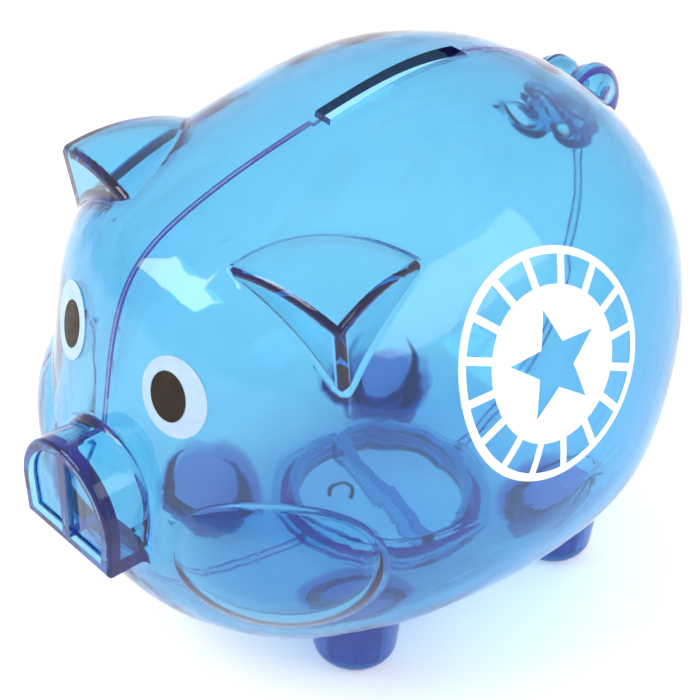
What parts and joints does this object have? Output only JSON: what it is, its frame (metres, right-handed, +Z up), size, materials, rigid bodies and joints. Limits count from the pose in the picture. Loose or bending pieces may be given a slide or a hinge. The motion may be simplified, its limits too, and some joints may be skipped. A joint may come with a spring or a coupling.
{
  "type": "piggy bank",
  "caption": "Small translucent plastic piggy bank with a coin slot along its back, printed eyes and badge, and a pull-out plug in its belly.",
  "frame": {"origin": "on the ground under the middle of the bank's length, in its plane of symmetry", "axes": "the snout faces -Y, the pig's left side is +X, +Z is up"},
  "size_m": [0.096, 0.1269, 0.0974],
  "materials": {
    "shell_plastic": "clear blue polished plastic",
    "plug_plastic": "clear blue polished plastic",
    "eye_white": "white printing ink",
    "eye_pupil": "black-brown printing ink",
    "badge_ink": "white printing ink",
    "mark_ink": "dark printing ink"
  },
  "bodies": {
    "bank": {"left_shell": "shell_plastic", "right_shell": "shell_plastic", "left_eye_white": "eye_white", "left_eye_pupil": "eye_pupil", "right_eye_white": "eye_white", "right_eye_pupil": "eye_pupil", "badge_print": "badge_ink"},
    "plug": {"belly_plug": "plug_plastic", "plug_mark": "mark_ink"}
  },
  "joints": [
    {"name": "plug_pull", "type": "slide", "parent": "bank", "child": "plug", "axis": [0, 0, -1], "range_m": [0, 0.03]}
  ]
}
